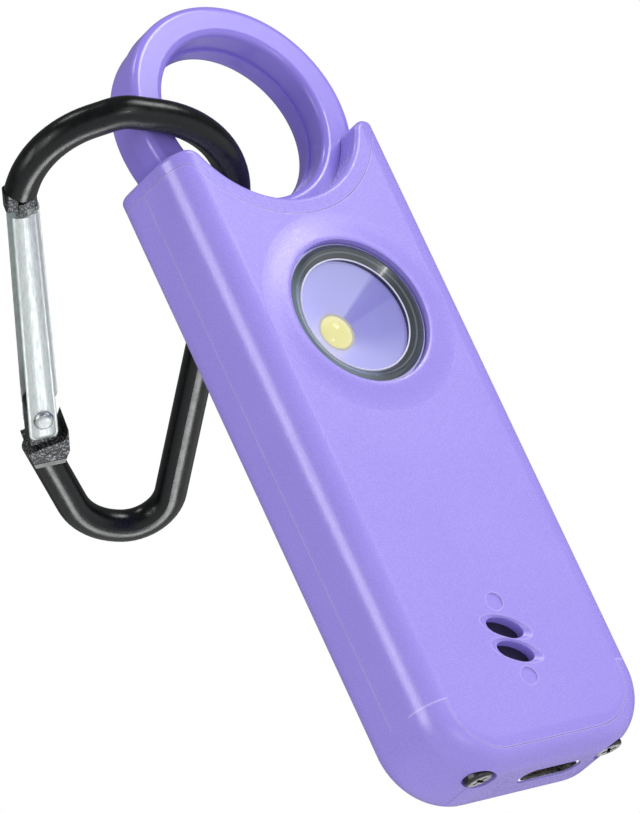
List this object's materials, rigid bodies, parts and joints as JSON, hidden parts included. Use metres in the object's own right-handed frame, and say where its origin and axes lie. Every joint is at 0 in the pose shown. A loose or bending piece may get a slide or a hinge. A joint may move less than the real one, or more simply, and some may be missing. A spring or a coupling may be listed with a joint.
{
  "type": "personal safety alarm",
  "caption": "Pocket alarm: a ring pulled off its saddle starts a siren and a lamp; a carabiner hangs in the ring's eye.",
  "frame": {"origin": "centre of the pull ring's eye, where the alarm hangs", "axes": "+Z along the case towards the ring, front face with the lamp towards -Y, +X to the right seen from the front"},
  "size_m": [0.0453, 0.06, 0.1026],
  "materials": {
    "case": "fine satin texture",
    "saddle": "smooth satin",
    "screw": "dark nickel plate",
    "lens_rim": "frosted translucent",
    "window": "clear",
    "reflector": "bright",
    "lamp_white": "glossy",
    "lamp_dome": "clear amber gel",
    "board": "solder mask",
    "chip": "moulded",
    "plated": "plated",
    "dark_plastic": "moulded",
    "cell": "foil pouch",
    "foam": "foam",
    "lead": "insulated",
    "brass": "plain",
    "ceramic": "silvered",
    "mesh": "woven",
    "copper": "enamelled",
    "plunger": "moulded",
    "wire": "gloss black anodised",
    "gate": "bare satin",
    "spring": "bright"
  },
  "bodies": {
    "case": {"front_cover": "case", "rear_shell": "case", "bottom_cap": "case", "top_cap": "saddle", "bottom_screws": "screw", "lens_ring": "lens_rim", "lens_window": "window", "reflector_cone": "reflector", "led_package": "lamp_white", "led_dome": "lamp_dome", "circuit_board": "board", "control_chips": "chip", "boost_coil": "copper", "usb_socket": "plated", "usb_tongue": "dark_plastic", "battery_cell": "cell", "battery_pad": "foam", "battery_leads": "lead", "siren_chamber": "dark_plastic", "siren_disc": "brass", "siren_ceramic": "ceramic", "siren_leads": "lead", "dust_mesh": "mesh", "trigger_switch": "dark_plastic"},
    "puller": {"ring_front_half": "saddle", "ring_rear_half": "saddle", "trigger_plug": "saddle"},
    "plunger": {"switch_plunger": "plunger"},
    "carabiner": {"carabiner_frame": "wire", "gate_rivet": "gate"},
    "gate": {"carabiner_gate": "gate", "gate_spring": "spring"}
  },
  "joints": [
    {"name": "ring_pull", "type": "slide", "parent": "case", "child": "puller", "axis": [0, 0, 1], "range_m": [0, 0.028]},
    {"name": "switch_release", "type": "slide", "parent": "case", "child": "plunger", "axis": [0, 0, 1], "range_m": [0, 0.0008]},
    {"name": "carabiner_swing", "type": "hinge", "parent": "puller", "child": "carabiner", "pos_m": [0, 0, 0], "axis": [0, 1, 0], "range_deg": [0, 90]},
    {"name": "gate_pivot", "type": "hinge", "parent": "carabiner", "child": "gate", "pos_m": [-0.01484, 0.03626, -0.0161], "axis": [0.3481, 0.35, 0.8697], "range_deg": [0, 16], "stiffness_Nm_per_rad": 0.02}
  ],
  "couplings": [
    {"joint": "switch_release", "follows": "ring_pull", "ratio": 0.025}
  ]
}
